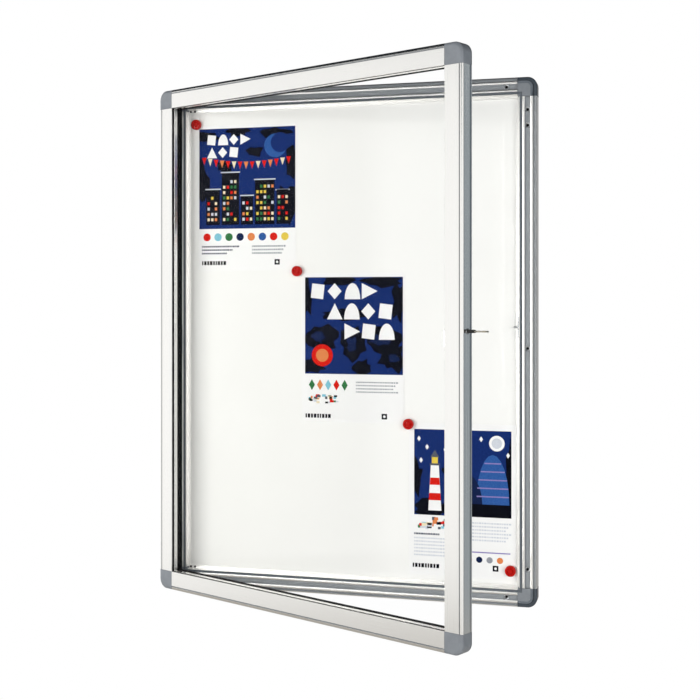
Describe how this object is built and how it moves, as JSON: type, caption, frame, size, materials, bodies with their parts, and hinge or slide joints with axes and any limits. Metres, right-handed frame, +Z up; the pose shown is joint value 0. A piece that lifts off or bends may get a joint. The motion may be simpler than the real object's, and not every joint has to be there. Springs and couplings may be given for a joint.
{
  "type": "lockable wall notice board",
  "caption": "Shallow wall notice board with a satin aluminium frame, grey corner pieces, a magnetic white panel and a side-hung lockable glass door, shown ajar with its key in.",
  "frame": {"origin": "middle of the flat back of the case, in the plane of the wall", "axes": "+X to the right seen from the front, +Y into the wall, +Z up; the door faces -Y"},
  "size_m": [0.7609, 0.3818, 1.01],
  "materials": {
    "satin_aluminium": "satin anodised, silver with a warm tone",
    "grey_plastic": "fine moulded texture, blue grey",
    "white_enamel": "gloss white enamel",
    "fibre_board": "raw fibre board",
    "zinc_sheet": "plain zinc coat",
    "dark_rubber": "matt, dark grey",
    "black_rubber": "matt black",
    "steel": "bright zinc plate",
    "dark_steel": "black zinc plate",
    "clear_glass": "clear float glass, polished",
    "nickel": "nickel plate with a warm tone, lightly worn",
    "black_plastic": "satin black",
    "red_plastic": "gloss red",
    "ferrite": "matt sintered ferrite",
    "paper": "plain white coated paper"
  },
  "bodies": {
    "case": {"case_top_rail": "satin_aluminium", "case_bottom_rail": "satin_aluminium", "case_left_stile": "satin_aluminium", "case_right_stile": "satin_aluminium", "case_corner_bottom_left": "grey_plastic", "case_corner_top_left": "grey_plastic", "case_corner_top_right": "grey_plastic", "case_corner_bottom_right": "grey_plastic", "case_seal": "dark_rubber", "panel_sheet": "white_enamel", "panel_core": "fibre_board", "panel_back_sheet": "zinc_sheet", "keeper_plate": "steel", "keeper_screw_lower": "steel", "keeper_screw_upper": "steel", "flange_screw_1": "dark_steel", "flange_screw_2": "dark_steel", "flange_screw_3": "dark_steel", "flange_screw_4": "dark_steel", "hinge_bottom_case_leaf": "steel", "hinge_bottom_pin": "steel", "hinge_middle_case_leaf": "steel", "hinge_middle_pin": "steel", "hinge_top_case_leaf": "steel", "hinge_top_pin": "steel", "notice_sheet_upper": "paper", "notice_sheet_middle": "paper", "notice_sheet_lower": "paper"},
    "door": {"door_top_rail": "satin_aluminium", "door_bottom_rail": "satin_aluminium", "door_left_stile": "satin_aluminium", "door_right_stile": "satin_aluminium", "door_corner_bottom_left": "grey_plastic", "door_corner_top_left": "grey_plastic", "door_corner_top_right": "grey_plastic", "door_corner_bottom_right": "grey_plastic", "glazing_pane": "clear_glass", "glazing_gasket": "black_rubber", "door_seal": "black_rubber", "hinge_bottom_door_leaf": "steel", "hinge_middle_door_leaf": "steel", "hinge_top_door_leaf": "steel", "lock_barrel": "steel", "lock_nut": "steel"},
    "plug": {"lock_plug": "nickel", "lock_cam": "steel", "cam_screw": "steel"},
    "key": {"key_blade": "nickel", "key_grip": "black_plastic"},
    "magnet_1": {"magnet_cap_1": "red_plastic", "magnet_core_1": "ferrite"},
    "magnet_2": {"magnet_cap_2": "red_plastic", "magnet_core_2": "ferrite"},
    "magnet_3": {"magnet_cap_3": "red_plastic", "magnet_core_3": "ferrite"},
    "magnet_4": {"magnet_cap_4": "red_plastic", "magnet_core_4": "ferrite"}
  },
  "joints": [
    {"name": "door_swing", "type": "hinge", "parent": "case", "child": "door", "pos_m": [-0.3779, -0.0295, 0], "axis": [0, 0, -1], "range_deg": [-25, 90]},
    {"name": "lock_turn", "type": "hinge", "parent": "door", "child": "plug", "pos_m": [0.29854, -0.36038, 0.0284], "axis": [0.9063, -0.4226, 0], "range_deg": [0, 90]},
    {"name": "key_slide", "type": "slide", "parent": "plug", "child": "key", "axis": [0.9063, -0.4226, 0], "range_m": [0, 0.03]},
    {"name": "magnet_1_lift", "type": "slide", "parent": "case", "child": "magnet_1", "axis": [0, -1, 0], "range_m": [0, 0.012]},
    {"name": "magnet_2_lift", "type": "slide", "parent": "case", "child": "magnet_2", "axis": [0, -1, 0], "range_m": [0, 0.012]},
    {"name": "magnet_3_lift", "type": "slide", "parent": "case", "child": "magnet_3", "axis": [0, -1, 0], "range_m": [0, 0.012]},
    {"name": "magnet_4_lift", "type": "slide", "parent": "case", "child": "magnet_4", "axis": [0, -1, 0], "range_m": [0, 0.012]}
  ]
}
